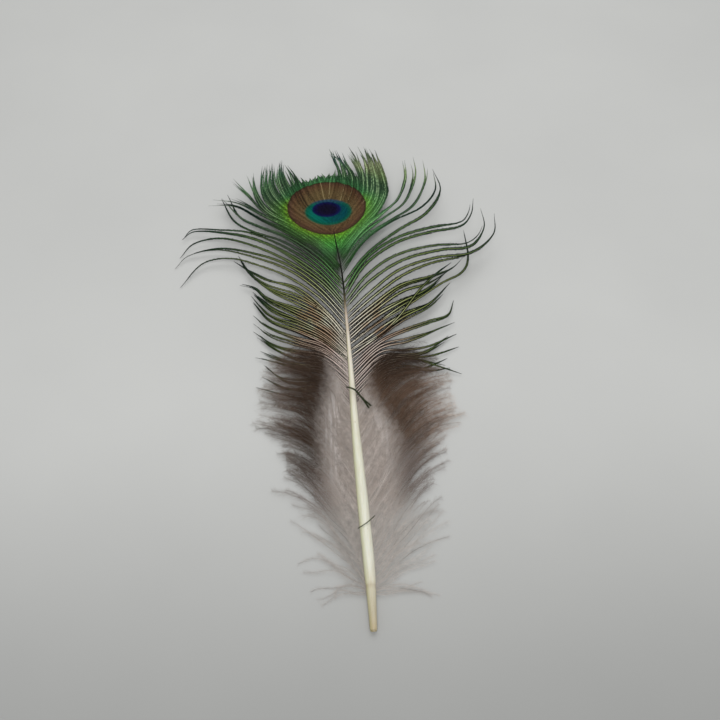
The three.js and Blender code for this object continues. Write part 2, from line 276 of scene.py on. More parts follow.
LEFT_ROWS = [  # x, y from the quill's tip and z of each point from the root on, in mm
    [-.5,60,2.1, -6,68,1.8, -13.5,68,1.5, -20.5,70.5,1.1, -27.5,73.5,.5],
    [-.5,62.5,2.1, -6.5,70.5,2, -13.5,71,1.6, -19,72,1.2, -25.5,77,.5],
    [-.5,64.5,2.2, -7,73.5,2.1, -13.5,73,1.8, -19.5,75,1.3, -25,81,.6],
    [-.6,67.5,2.3, -7.5,76,2.2, -14.5,78.5,1.9, -21,81,1.4, -27.5,84,.6],
    [-.6,69.5,2.3, -7.5,77.5,2.5, -14.5,79.5,2.1, -20.5,82.5,1.5, -26,86.5,.6],
    [-.6,71.5,2.4, -7.5,79,2.7, -15,81,2.4, -21.5,85.5,1.6, -27,91.5,.6],
    [-.6,73.5,2.5, -7,80.5,2.9, -14.5,83.5,2.7, -22,87.5,1.8, -28,94,.6],
    [-.6,75.5,2.5, -7,82.5,3, -14.5,86.5,2.8, -23,91,1.8, -28,97,.6],
    [-.6,77,2.6, -7,84,3.1, -14.5,88,2.9, -23,93.5,1.9, -28,100,.6],
    [-.6,79,2.6, -7,85.5,3.3, -14.5,90.5,3.2, -23,96,2.2, -28,105,.7],
    [-.5,80.5,2.7, -7,87.5,3.4, -14.5,93,3.3, -23,98.5,2.3, -28.5,107.5,.7],
    [-.6,82,2.7, -6.5,88.5,3.6, -14,94.5,3.6, -22,100.5,2.5, -28,109,.8],
    [-.6,84,2.8, -6.5,91.5,3.7, -15,97.5,3.8, -23.5,104,3, -27,109,2.2, -32,112,1.2],
    [-.5,86.5,2.9, -6,95,3.9, -14.5,102,4.1, -23,108,3.5, -29,116,2.4, -32.5,124.5,1.2],
    [-.5,89.5,3, -6,97.5,4, -14.5,107,4.1, -24,112,3.3, -34,122,1.2],
    [-.3,92,3.1, -7.5,102.5,4, -16.5,111.5,4.2, -25,117,3.9, -34.5,121.5,3.2, -43.5,121,2.1, -50.5,113,.5],
    [-.5,94.5,3.2, -7.5,105,4, -16,114,4.2, -26,120.5,3.9, -38,126,2.9, -48,125.5,1.6, -52.5,121,.5],
    [-.3,98.5,3.3, -7,108.5,4.2, -16.5,118,4.4, -27,125.5,4, -37.5,130.5,3.1, -46.5,130,1.9, -51,125,.8],
    [-.6,101.5,3.4, -6.5,111,4.3, -16.5,121,4.8, -27,128.5,4.4, -36.5,132.5,3.6, -46.5,135,2.3,
     -50.5,132.5,1.5],
    [-.6,104,3.5, -8,114.5,4.6, -17.5,123.5,4.9, -28.5,131,4.6, -38,134,3.7, -47,136,2.6, -50.5,132.5,1.8],
    [-.7,106.5,3.6, -8,116,4.9, -18,125.5,5.3, -28,131.5,4.9, -34,137.5,4.2, -38,148.5,3],
    [-.7,109.5,3.7, -6.5,118,4.9, -15.5,126.5,5.4, -24.5,132.5,5, -31.5,138.5,4.3, -36,150.5,3],
]
RIGHT_ROWS = [
    [-.5,62,2.1, 9,72.5,1.9, 15.5,74,1.5, 21.5,76,1.1, 28.5,79.5,.5],
    [-.5,64.5,2.2, 9,74.5,2.1, 16.5,76,1.8, 23,75,1.3, 29,76,.6],
    [-.5,66.5,2.2, 9,76,2.3, 17,79,2.1, 23.5,77,1.6, 32,73.5,.7],
    [-.5,68.5,2.3, 8.5,77.5,2.5, 16,79.5,2.2, 23.5,80,1.7, 32.5,83.5,.7],
    [-.5,70.5,2.4, 8.5,79.5,2.6, 16,80,2.3, 22.5,81.5,1.7, 30,87.5,.7],
    [-.5,72.5,2.4, 9,81.5,2.8, 16.5,82,2.6, 24,83.5,1.9, 32.5,88,.7],
    [-.5,75,2.5, 9,83.5,3, 17.5,86,2.6, 24.5,88.5,1.9, 32.5,92.5,.7],
    [-.5,77.5,2.6, 8.5,85,3.2, 16,89,3.1, 25,92.5,2.4, 31,95,1.6, 33.5,101,.8],
    [-.4,80.5,2.7, 9,87,3.7, 16.5,93,3.7, 25.5,98.5,2.9, 33,107.5,1.5],
    [-.2,86.5,2.9, 7.5,92.5,4.3, 16.5,98,4.7, 25,103,4.2, 32.5,111,3],
    [-.2,89,3, 7.5,95,4.5, 17,102,4.9, 26,105.5,4.2, 33.5,111.5,3],
    [0,92,3.1, 8,98,4.7, 17,104.5,5.5, 26.5,107.5,5.4, 34,111,4.7, 38.5,116,4],
    [.1,96,3.2, 8,103,5, 17.5,110,6.3, 29,113.5,7, 40.5,115,6.9, 48.5,122.5,6.5, 50.5,132,6],
    [.2,99,3.3, 8,107,5.2, 18.5,113.5,6.5, 31,116.5,7, 40.5,117.5,6.9, 46,125.5,6.5, 46.5,134.5,6],
    [0,103,3.5, 7,113.5,5.5, 17.5,121,6.7, 28.5,124.5,7.1, 38.5,126.5,6.9, 43,132,6.5, 45,139.5,6],
    [0,108,3.6, 8,118,5.4, 18.5,126.5,6.3, 28.5,133.5,6.5, 34.5,144,6.1, 33.5,155,5.5],
]
RIGHT_STRAYS = [  # two thin barbs that curl across their neighbours
    [-.4,82.5,2.8, 9,87,4.2, 15.5,92.5,5.2, 22.5,101.5,5.9, 28.5,108,5.6, 34,113,4.8],
    [-.4,84.5,2.8, 9,91,4.4, 18.5,96.5,5.2, 29.5,104,5.6, 36.5,108,5.6, 39.5,114.5,5.2, 40,127,4.2],
]
LOWER_ROWS = 9  # rows on each side that are the short brown barbs
HOOKED_ROWS = 15  # rows on the left before those that curl over at their tips
PATH_POINTS = 60  # along every barb
FLUE_REACH = .7  # mm from the thread to the tips of its barbules
FLUE_CORE = .3  # mm of that which the barbules close
STRAY_SIZE = .7  # of a flue's size, for the two stray barbs
LEAST_THREAD = .045  # mm, half the thickness of a thread near its tip
BARBULE_STEP = .16  # mm between barbules
BARBULE_LAP = .66  # half a barbule's width, as a share of the step between two
CORE_STEP = 1.2  # mm between the rings of a thread
PALE_LENGTH = ((85, 101), (19, 9.5))  # mm from the root that a thread is pale, by its y
PALE_SHARE = .38  # what "along" says at that length
ROOT_DROP = ((127, 131), (.12, -.14))  # mm that a root lies below the shaft's middle, by y


def lay_between(lower, upper, extras, rng, clump):
    """Loose barbs between two set ones. Their outer halves lie against the nearer of the two."""
    laid = []
    t = np.linspace(0, 1, PATH_POINTS)
    for k in range(extras):
        share = (k + 1 + rng.uniform(-.18, .18)) / (extras + 1)
        close = share + clump * (np.round(share) + .14 * rng.uniform(-1, 1) - share)
        weight = share + (close - share) * np.clip((t - .3) / .5, 0, 1)
        path = lower + (upper - lower) * weight[:, None]
        keep = rng.uniform(.86, 1)
        path = evenly(path[: max(8, int(PATH_POINTS * keep))], PATH_POINTS)
        laid.append(loosen(path, rng, .22))
    return laid


def loosen(path, rng, wobble):
    """A barb with a slow sideways and upward wander that is nothing at its root."""
    t = np.linspace(0, 1, len(path))
    _, side, up = frames(path)
    turns = rng.uniform(.7, 1.6)
    wave = np.sin(2 * np.pi * (turns * t + rng.uniform())) * np.clip(t * 3, 0, 1) * wobble
    lift = rng.uniform(-.2, .2) * np.clip(t * 4, 0, 1)
    return path + side * wave[:, None] + up * (lift + .4 * wave)[:, None]


def tube_faces(rows, sides):
    """The faces between rows of corners, each row a ring of so many sides."""
    grid = np.arange(rows * sides).reshape(rows, sides)
    turned = np.roll(grid, -1, axis=1)
    return np.stack([grid[:-1], grid[1:], turned[1:], turned[:-1]], -1).reshape(-1, 4)


def herl(path, rng, reach, core, thread, step=BARBULE_STEP, twist=.5):
    """One barb: the thread with its closed strip, and a barbule at every step on both sides.
    reach and core are in mm at each point of the path. Gives corners, faces and values."""
    t = np.linspace(0, 1, len(path))
    length = lengths(path)[-1]
    roll = twist * (rng.uniform(-.3, .3) + rng.uniform(-1.3, 1.3) * t**2)
    rows = max(6, int(length / CORE_STEP))
    at = np.linspace(0, 1, rows)
    line = between(at, t, path)
    wide = np.interp(at, t, core)[:, None]
    deep = np.interp(at, t, thread)[:, None]
    _, side, up = frames(line, np.interp(at, t, roll))
    strip = np.stack([line - side * wide - up * deep * .6, line + up * deep,
                      line + side * wide - up * deep * .6, line - up * deep], 1)
    share = wide[:, 0] / np.interp(at, t, reach)
    fringe = np.stack([share, 0 * share, share, .3 + 0 * share], 1).ravel()
    count = max(4, int(length / step))
    at2 = (np.arange(count) + .5) / count
    root = between(at2, t, path)
    along2, side2, up2 = frames(root, np.interp(at2, t, roll))
    half = along2 * (length / count * BARBULE_LAP)
    out = np.interp(at2, t, reach)
    blades = []
    for hand in (-1, 1):
        sweep = rng.uniform(.62, .95, count)[:, None]
        rise = rng.normal(0, .13, count)[:, None]
        far = (out * rng.uniform(.82, 1.1, count))[:, None]
        way = side2 * hand * np.sin(sweep + .25) + along2 * np.cos(sweep) + up2 * rise
        tip = root + way * far
        blades.append(np.stack([root - half * hand, root + half * hand, tip + half * hand,
                                tip - half * hand], 1).reshape(-1, 3))
    corners = np.concatenate([strip.reshape(-1, 3), *blades])
    teeth = rows * 4 + np.arange(count * 8).reshape(-1, 4)
    fringe = np.concatenate([fringe, np.tile([.12, .12, 1, 1], count * 2)])
    pale = min(np.interp(path[0, 1], *PALE_LENGTH) / length, .6)
    aged = np.concatenate([np.repeat(at, 4), np.tile(np.repeat(at2, 4), 2)])
    aged = np.interp(aged, [0, pale, 1], [0, PALE_SHARE, 1])
    return corners, [tube_faces(rows, 4), teeth], aged, fringe


def barb_piece(name, barbs, rng, material, slot, node="feather"):
    """Many barbs as one piece, with its map and the values that the materials read."""
    corners, quads, teeth, rows, base = [], [], [], [], 0
    values = {"along": [], "fringe": [], "station": [], "chance": []}
    for number, (points, faces, t, fringe) in enumerate(barbs):
        corners.append(points)
        quads.append(faces[0] + base)
        teeth.append(faces[1] + base)
        base += len(points)
        values["along"].append(t)
        values["fringe"].append(fringe)
        values["station"].append(np.full(len(t), points[0, 1] / STATION_SPAN))
        values["chance"].append(np.full(len(t), rng.uniform()))
        rows.append((number + .5 + .4 * fringe) / len(barbs))
    values = {word: np.concatenate(numbers) for word, numbers in values.items()}
    uv = np.stack([values["along"], np.concatenate(rows)], 1)
    new_piece(name, np.concatenate(corners), [np.concatenate(quads), np.concatenate(teeth)],
              material, slot, [node], uv, **values)


def flue_shape(path, size=1):
    """Widths along a flue: narrow at the root, full in the middle, a bare thread at the tip."""
    t = np.linspace(0, 1, len(path))
    full = np.interp(t, [0, .03, .16, .35, .6, .78, .9, .96, 1],
                     [.15, .7, .85, .98, 1, .88, .65, .33, .15])
    reach = FLUE_REACH * size * full
    thread = LEAST_THREAD + .05 * (1 - t)
    return reach, np.maximum(FLUE_CORE / FLUE_REACH * reach, thread), thread


def rooted(row):
    """A set barb as a smooth path, carried back along its own line to the shaft's middle."""
    x, y, _, next_x, next_y = row[:5]
    slope = (next_y - y) / (next_x - x)
    root = shaft_line(y)
    for _ in range(3):
        root = shaft_line(np.clip(y - (x - root[0]) * slope, y - 2.5, y + 1))
    drop = np.interp(root[1], *ROOT_DROP)
    return smooth_path([*(root - (0, 0, drop)), *row[3:]], PATH_POINTS)


def groom(rows, extras, rng, clump=.9, size=1):
    """The set barbs and the loose ones between them, as ready herls. size may be a row of
    numbers, one for each point of a barb."""
    paths = [rooted(row) for row in rows]
    laid = [loosen(p, rng, .12) for p in paths]
    for lower, upper, more in zip(paths, paths[1:], extras):
        laid += lay_between(lower, upper, more, rng, clump)
    return [herl(p, rng, *flue_shape(p, size)) for p in laid]


def over_barb(places, sizes):
    """A size for each point of a barb, read between those at a few places along it."""
    return np.interp(np.linspace(0, 1, PATH_POINTS), places, sizes)


EYE_MIDDLE = (-3.3, 139.8)  # mm from the quill's tip
EYE_HALF = (12.8, 11.7)  # mm, half its width and half its length


def ring_distance(place, middle, half):
    """How far a point is from an oval's middle, as a share of the oval's own radius."""
    centre = (middle[0] * MM, (middle[1] + QUILL_TIP) * MM, 0)
    scale = (1 / (half[0] * MM), 1 / (half[1] * MM), 0)
    shifted = add("VectorMath", place, centre, operation="SUBTRACT")
    scaled = add("VectorMath", shifted, scale, operation="MULTIPLY")
    return add("VectorMath", scaled, operation="LENGTH", out=1)


def x_and_y(place):
    """Where a point is across and along the feather, in metres."""
    node = add("SeparateXYZ", place).node
    return node.outputs[0], node.outputs[1]


def barb_values():
    """What the barbs' materials read: where on its barb a point is, and where on the feather."""
    words = {word: read(word) for word in ("along", "fringe", "chance", "station")}
    words["place"] = add("TexCoord", out=3)
    words["flecks"] = noise(words["place"], 2600, 1, .5)
    words["ragged"] = add("Math", ring_distance(words["place"], EYE_MIDDLE, EYE_HALF),
                          spread(words["chance"], 0, 1, -.012, .012, smooth=False), operation="ADD")
    return words


def barb_surface(shader, words, thread, web, edge, wide=(.16, .16)):
    """The thread shows along the middle, the web beside it, and the fringe is darkest.
    wide is how far out the thread shows, as a share of the reach, at the root and the tip."""
    lively = tint(web, spread(words["flecks"], .34, .66, .2, 2, smooth=False))
    shaded = tint(lively, spread(words["chance"], 0, 1, .7, 1.3, smooth=False))
    far = spread(words["along"], .22, .52, *wide)
    body = blend(spread(words["fringe"], times(far, .5), far), thread, shaded)
    colour = blend(spread(words["fringe"], .42, .6), body, edge)
    tree.links.new(colour, shader.inputs["Base Color"])


FLUE_THREAD = ((0,.76,.69,.59), (.18,.74,.71,.56), (.33,.54,.55,.33), (.46,.34,.37,.145),
               (.64,.23,.27,.085), (.84,.055,.09,.04), (1,.012,.02,.015))
FLUE_WEB = ((0,.03,.023,.017), (.22,.018,.015,.008), (.42,.012,.014,.005), (.66,.01,.022,.008),
            (.84,.009,.026,.015), (1,.006,.014,.011))
FLUE_FRINGE = ((0,.014,.011,.007), (.45,.007,.009,.004), (.8,.004,.01,.006), (1,.004,.008,.007))
GREEN_THREAD = ((0,.22,.26,.14), (.1,.16,.28,.11), (.3,.1,.24,.08), (.48,.085,.17,.055),
                (.66,.135,.215,.065), (.84,.04,.08,.04), (1,.015,.035,.022))
GREEN_WEB = ((0,.014,.036,.012), (.12,.026,.085,.024), (.3,.026,.095,.026), (.55,.016,.06,.022),
             (.82,.009,.032,.019), (1,.006,.018,.015))


def rust(words):
    """How much a barb is tinged with rust: the middle part of those at the foot of the flues."""
    by_root = times(spread(words["station"], .46, .54), spread(words["station"], .63, .57))
    by_place = times(spread(words["along"], .06, .18), spread(words["along"], .5, .36))
    patchy = spread(noise(words["place"], 160, 2, .5), .4, .6)
    return times(by_root, by_place, times(patchy, .75))


def flue_colours(words):
    """Tan and olive on the lower flues and green from the root on those under the eye."""
    under_eye = spread(words["station"], .61, .71)
    along = words["along"]
    red = rust(words)
    thread = blend(red, ramp(along, *FLUE_THREAD), (.34, .2, .11))
    web = blend(red, ramp(along, *FLUE_WEB), (.11, .042, .018))
    return (blend(under_eye, thread, ramp(along, *GREEN_THREAD)),
            blend(under_eye, web, ramp(along, *GREEN_WEB)), ramp(along, *FLUE_FRINGE))


def eye_glow(words):
    """The colours that ring the disc: yellow green below it, deep green beside and above it."""
    away = spread(words["ragged"], 1, 2.2, smooth=False)
    corner = ramp(away, (0,.05,.05,.012), (.02,.12,.23,.02), (.09,.08,.2,.022), (.2,.06,.155,.034),
                  (.36,.055,.115,.042), (.55,.05,.078,.048), (.78,.036,.045,.036),
                  (1,.024,.04,.019))
    below = ramp(away, (0,.05,.05,.012), (.02,.12,.28,.018), (.12,.08,.28,.025), (.28,.05,.25,.034),
                 (.46,.038,.175,.04), (.66,.034,.115,.04), (1,.03,.07,.028))
    beside = ramp(away, (0,.04,.05,.012), (.02,.1,.26,.035), (.22,.085,.25,.07),
                  (.42,.062,.175,.07), (.62,.036,.09,.044), (1,.034,.09,.04))
    above = ramp(away, (0,.025,.06,.022), (.02,.04,.15,.05), (.16,.042,.13,.05),
                 (.34,.048,.105,.05), (1,.05,.105,.055))
    x_at, y_at = x_and_y(words["place"])
    middle_y = (EYE_MIDDLE[1] + QUILL_TIP) * MM
    low = blend(spread(x_at, -.009, -.003), corner, below)
    right = spread(x_at, 0, .006)
    high = spread(y_at, middle_y + .001, middle_y + .007)
    return blend(high, blend(right, low, beside), above)


flue_green, shader = new_material("flue_green", .55, .04)
words = barb_values()
thread, web, edge = flue_colours(words)
glow = eye_glow(words)
near_eye = spread(words["ragged"], 2.1, 1.6)
barb_surface(shader, words, blend(near_eye, thread, glow), blend(near_eye, web, glow), edge,
             (.275, .25))

rng = np.random.default_rng(11)
slim = over_barb([0, .3, .55, 1], [.97, .97, .72, .62])
left = groom(LEFT_ROWS[LOWER_ROWS:HOOKED_ROWS], [2, 3, 3, 3, 3], rng, .82, slim * .9)
left += groom(LEFT_ROWS[HOOKED_ROWS:], [0, 1, 1, 0, 0, 1], rng, size=slim)
barb_piece("left_flues", left, rng, flue_green, "flues")
slim = over_barb([0, .3, .4, .7, .82, 1], [1.26, 1.12, 1.1, 1.05, .5, .42])
right = groom(RIGHT_ROWS[LOWER_ROWS - 1:], [2, 1, 1, 1, 0, 1, 1], rng, size=slim)
right += [herl(p, rng, *flue_shape(p, STRAY_SIZE)) for p in map(rooted, RIGHT_STRAYS)]
barb_piece("right_flues", right, rng, flue_green, "flues")

# --- Lower barbs ---
# The shorter barbs below the flues. Their inner halves are pinkish brown and lie side by side
# like combed thread, and only their drooping tips are green.

lower_brown, shader = new_material("lower_barb_brown", .65, .04)
words = barb_values()
along = words["along"]
thread = ramp(along, (0,.72,.63,.58), (.25,.55,.45,.39), (.46,.33,.29,.17), (.7,.16,.21,.07),
              (1,.02,.03,.018))
dull = ramp(along, (0,.11,.085,.074), (.28,.06,.045,.036), (.5,.032,.034,.016),
            (.68,.022,.044,.014), (.85,.014,.038,.014), (1,.006,.012,.008))
red = rust(words)
thread = blend(red, thread, (.34, .22, .15))
web = blend(red, dull, (.13, .052, .026))
edge = ramp(along, (0,.022,.016,.013), (.3,.012,.008,.006), (.7,.006,.008,.004), (1,.004,.007,.005))
barb_surface(shader, words, thread, web, edge, (.46, .24))

slim = over_barb([0, .4, .7, 1], [.76, .76, .48, .42])
left = groom(LEFT_ROWS[:LOWER_ROWS + 1], [1, 2, 3, 3, 3, 2, 3, 2, 3], rng, .88, slim)
barb_piece("left_lower_barbs", left, rng, lower_brown, "flues")
slim = over_barb([0, .4, .7, 1], [.8, .8, .65, .6])
right = groom(RIGHT_ROWS[:LOWER_ROWS], [1] * 8, rng, .8, slim)
barb_piece("right_lower_barbs", right, rng, lower_brown, "flues")

# --- Eye vane ---
# The close barbs that make the eye. Inside the disc their barbules are broad and overlap, and
# their colour is in their own fine structure: bronze, turquoise, then violet black. Past the
# disc they part into two tufts, and between the tufts they have worn off short.

LEFT_EYE_ROWS = [
    LEFT_ROWS[-1],
    [-.8,112.5,3.8, -7,120,4.9, -15.5,128.5,5.4, -24.5,135.5,5.2, -33,143.5,4.3, -42,146.5,3],
    [-1,114,3.9, -7.5,122.5,4.9, -16,131,5.3, -24.5,138,5, -32.5,145,4.2, -41,148.5,3],
    [-1,115,3.9, -6.5,122.5,4.8, -14.5,131,5.3, -23,137.5,4.8, -29.5,144.5,4, -34.5,149,3.2],
    [-1.1,116.5,3.9, -7,124.5,4.8, -15.5,132.5,5.1, -24,140,4.7, -29,148.5,4.1, -35,157.5,3],
    [-1.9,119.5,4, -7,125.5,4.9, -15,132.5,5.4, -23,139.5,5.1, -27,148,4.5, -28.5,160,3.5],
    [-2,120.5,4.1, -7,125.5,4.9, -15,133,5.4, -22,139,5.1, -26.5,149,4.4, -28.5,159.5,3.4],
    [-1.9,122.5,4.1, -7.5,128.5,5.1, -15.5,135,5.6, -22.5,143.5,5.3, -24.5,152.5,4.9, -23.5,163,4],
    [-2.1,127,4.3, -12,135.5,5.4, -18.5,143.5,5.4, -21.5,152,5, -20.5,164,4.2],
    [-2.5,130.5,4.4, -12,139.5,5.4, -15.5,148,5.3, -17.5,156,5, -17.5,164.5,4.4],
    [-2.5,132,4.4, -9,139.5,5.1, -12,148.5,5.2, -14,156,4.9, -16.5,162,4.4],
    [-2.5,133,4.5, -7.5,140,5.1, -10.5,148.5,5.2, -13,156,4.8, -15,161.5,4.4],
    [-2.5,134,4.5, -7,140.5,5.1, -10,146.5,5, -12.5,152,4.6],
    [-2.5,135.5,4.5, -5.5,141,5.1, -8,147.5,5.2, -9.5,154.5,4.7],
    [-2.5,137.5,4.5, -4.5,142,5, -5.5,148,5.2, -5.5,155.5,4.8],
    [-2.5,140,4.6, -3,144.5,5, -3,150,5.2, -3,156.5,4.9],
    [-3,142,4.6, -1.5,146,5.1, -.5,151,5.2, .5,157.5,5],
]
RIGHT_EYE_ROWS = [
    RIGHT_ROWS[-1],
    [0,112,3.8, 7.5,123,5.5, 17,130.5,6.3, 27,136,6.4, 33,144,6, 34,153.5,5.5],
    [0,114,3.9, 8.5,125,5.6, 17.5,131.5,6.3, 25,137.5,6.4, 30,148.5,6.1, 31,159,5.5],
    [-.1,116,3.9, 7,126,5.5, 15.5,133,6.2, 22.5,139.5,6.3, 27,151.5,6, 27,161.5,5.5],
    [-.1,118.5,4, 7,128.5,5.6, 14,134.5,6.2, 20,140.5,6.3, 23.5,150.5,6.1, 23.5,160.5,5.5],
    [.1,121,4.1, 7,129.5,5.4, 13,137,5.9, 16.5,145.5,6.1, 16,155.5,6, 14,166.5,5.5],
    [-.2,124,4.2, 6.5,132.5,5.3, 12,139.5,5.8, 14,147.5,5.9, 13.5,157.5,5.9, 12,167.5,5.5],
    [-1,126,4.3, 6,134.5,5.3, 10.5,141.5,5.8, 12.5,148.5,5.9, 12.5,157.5,5.8, 11,168,5.5],
    [-.8,127,4.3, 6,136.5,5.3, 10,142.5,5.7, 11,151,5.8, 11,159.5,5.7, 8.5,168,5.5],
    [-1.3,129.5,4.4, 4.5,140,5.3, 7.5,146.5,5.5, 9,155,5.7, 7.5,162.5,5.6, 5,169,5.5],
    [-1.5,129.5,4.4, 5,137,5.3, 8.5,143.5,5.6, 9.5,150,5.7, 8.5,157,5.7, 6,165,5.5],
    [-2,132,4.4, 2.5,140.5,5.2, 5,147,5.5, 5.5,154,5.6, 3.5,160,5.6, 2,167,5.5],
    [-2,133,4.5, 2,145,5.2, 3.5,153,5.5, 2.5,160,5.5, .5,163.5,5.5, -1.5,167,5.5],
    [-2.5,138.5,4.5, 0,144,5, 1.5,150,5.3, 1.5,157,5.5, .5,161.5,5.5, -.5,168,5.4],
    [-3,142,4.6, -1.5,146,5.1, -.5,151,5.2, .5,157.5,5],
]
WEB_SPACING = ((112, 119), (1.05, .54))  # mm between barbs across the disc, by their roots' y
WEB_REACH = .85  # mm, the broad barbules of the disc
WEB_CORE = .46  # mm of that which they close
WEB_EDGE = (1.15, 1.52)  # disc radii between which the web opens into flues
TUFT_EDGE = (1.16, 1.34)  # the same above the disc
TUFT_CLOSED = (1.75, 2.5)  # the same on the right, where the tuft stays closed
TUFT_WIDE = .76  # of a flue's width, for the barbs of the tufts
WORN_EDGE = (1.3, 1.5)  # disc radii at which worn barbs end
STRAY = .8  # mm that a barb's tip leaves its line
WEB_SIZE = .85  # of a flue's size, for the barbs of the eye before they widen or thin
WEB_STEP = .19  # mm between their barbules
WEB_TWIST = .12  # how far they turn about their threads; a flue's is .5
# For the loose barbs between two set ones: how closely they lie against them, and the share of
# them that is worn short. None is a gap that stays open.
LEFT_GAPS = [(.9, 0)] * 5 + [(.6, 0)] * 2 + [(.1, 0)] * 2 + [(.3, .1), (.3, .3)] + [(.2, 1)] * 5
RIGHT_GAPS = [
    None, (.9, 0), (.9, 0), (.9, 0), (1, 0), (0, 0), (0, 0), (.5, .1), (.7, .3),
    (.5, .5), (.5, .5), (.5, .5), (.5, .6), (.3, 1),
]


def eye_radii(path):
    """Each point's distance from the eye's middle, as a share of the disc's own radius."""
    off = (path[:, :2] - EYE_MIDDLE) / EYE_HALF
    return np.linalg.norm(off, axis=1), off[:, 1]


def eye_shape(path):
    """Widths along a barb of the eye: broad across the disc, a flue's beyond it."""
    reach, core, thread = flue_shape(path, WEB_SIZE)
    radii, above = eye_radii(path)
    low = np.interp(above, [-.1, .7], [WEB_EDGE[0], TUFT_EDGE[0]])
    high = np.interp(above, [-.1, .7], [WEB_EDGE[1], TUFT_EDGE[1]])
    closed = np.interp(path[:, 0], [7.5, 11], [0, 1]) * np.interp(above, [0, .6], [0, 1])
    low = low + (TUFT_CLOSED[0] - low) * closed
    high = high + (TUFT_CLOSED[1] - high) * closed
    inside = 1 - np.clip((radii - low) / (high - low), 0, 1)
    thin = np.interp(above, [-2, -1.2, -.3, .5], [.5, .6, .74, TUFT_WIDE])
    worn = np.interp(np.linspace(0, 1, len(path)), [.8, .97, 1], [1, .45, .25])
    return ((thin * reach + (WEB_REACH - thin * reach) * inside) * worn,
            (thin * core + (WEB_CORE - thin * core) * inside) * worn, thread * .8)


def groom_eye(rows, gaps, rng):
    """The eye's barbs: as many between two set ones as it takes to close the web."""
    paths = [rooted(row) for row in rows]
    laid = paths[1:]
    t = np.linspace(0, 1, PATH_POINTS)
    for lower, upper, filling in zip(paths, paths[1:], gaps):
        if filling is None:
            continue
        clump, worn = filling
        gap = np.linalg.norm(upper - lower, axis=1)
        near = (eye_radii(lower)[0] < 1.3) | (t < .2)
        extras = max(1, int(round(gap[near].max() / np.interp(lower[0, 1], *WEB_SPACING))) - 1)
        for k in range(extras):
            share = (k + 1) / (extras + 1) + rng.uniform(-.03, .03)
            radii, above = eye_radii(lower + (upper - lower) * share)
            close = share + clump * (np.round(share) - share) + rng.uniform(-.06, .06)
            apart = np.clip((radii - 1.1) / .7, 0, 1) * (t > .3)
            weight = share + (close - share) * apart
            path = lower + (upper - lower) * weight[:, None]
            keep = rng.uniform(.9, 1)
            past = np.flatnonzero((radii > rng.uniform(*WORN_EDGE)) & (t > .3))
            if rng.uniform() < worn and len(past):
                keep = past[0] / PATH_POINTS
            laid.append(evenly(path[: int(PATH_POINTS * keep)], PATH_POINTS))
    barbs = []
    for path in laid:
        free = np.clip((t - .6) / .4, 0, 1)[:, None]
        stray = rng.normal(0, STRAY, 3) * (1, .5, .3) * free**2
        barbs.append(herl(loosen(path + stray, rng, .06), rng, *eye_shape(path), WEB_STEP,
                          WEB_TWIST))
    return barbs


eye_colours, shader = new_material("eye_colours", .55, .04)
words = barb_values()
ragged, chance, fringe, place = (words[word] for word in ("ragged", "chance", "fringe", "place"))
x_at, y_at = x_and_y(place)
_, web, edge = flue_colours(words)
teal = ramp(spread(y_at, .104, .12), (0,.055,.15,.06), (.6,.06,.14,.08), (1,.026,.056,.062))
olive = ramp(spread(y_at, .098, .122), (0,.065,.125,.052), (.3,.17,.24,.095), (.7,.24,.265,.14),
             (1,.06,.09,.05))
tuft = blend(spread(x_at, .003, .009), teal, olive)
far_web = blend(spread(y_at, .1, .106), web, tuft)
ring = blend(spread(ragged, 1.9, 1.5), far_web, eye_glow(words))
ring = blend(spread(words["along"], .93, .99), ring, (.008, .02, .014))
pale_line = times(spread(fringe, .2, .08), spread(ragged, 1.05, 1.4),
                  spread(y_at, .082, .096, .22, .8), spread(chance, .2, .7))
lined = blend(pale_line, ring, (.23, .33, .17))
lively = tint(lined, spread(words["flecks"], .32, .68, .55, 1.45, smooth=False))
striped = tint(lively, spread(chance, 0, 1, .55, 1.45, smooth=False))
dark_edge = times(spread(fringe, .3, .6), spread(ragged, 1, 1.3, .35, .55))
green = blend(dark_edge, striped, edge)

bronze = ramp(ragged, (0,.12,.083,.036), (.62,.12,.081,.036), (.84,.105,.058,.028),
              (.95,.082,.042,.025), (1,.035,.022,.01))
shades = ramp(chance, (0,.6,.54,.48), (.2,.86,.84,.8), (.4,1,1,1), (1,1.12,1.16,1.1))
fine = tint(bronze, spread(words["flecks"], .32, .68, .82, 1.18, smooth=False))
gold = times(spread(chance, .82, .84), spread(fringe, .1, .05), spread(y_at, .0945, .0965))
dark_ray = times(spread(chance, .22, .18), spread(fringe, .55, .75),
                 spread(x_at, -.002, -.008, .35, 1))
rayed = blend(gold, blend(dark_ray, tint(fine, shades), (.03, .02, .012)), (.29, .235, .12))
inner = ring_distance(place, (-2.9, 137.7), (7.5, 5.6))
blue = blend(spread(x_at, -.0075, .001), (0, .13, .095), (0, .058, .072))
rim = blend(spread(inner, .72, 1, 0, .9), blue, (.004, .095, .05))
rim = blend(spread(y_at, .0958, .0978), rim, (.022, .062, .105))
core = ring_distance(place, (-3.4, 138.9), (4.6, 3.3))
dark = ramp(core, (0,.004,.003,.012), (.6,.005,.003,.021), (.84,.005,.004,.045), (1,.003,.012,.075))
with_blue = blend(spread(inner, 1.09, .95), rayed, rim)
with_dark = blend(spread(core, 1.12, .95), with_blue, dark)
shadow = spread(fringe, .5, 1, 1, .72)
colour = blend(spread(ragged, 1.01, .992), green, tint(with_dark, shadow))
tree.links.new(colour, shader.inputs["Base Color"])

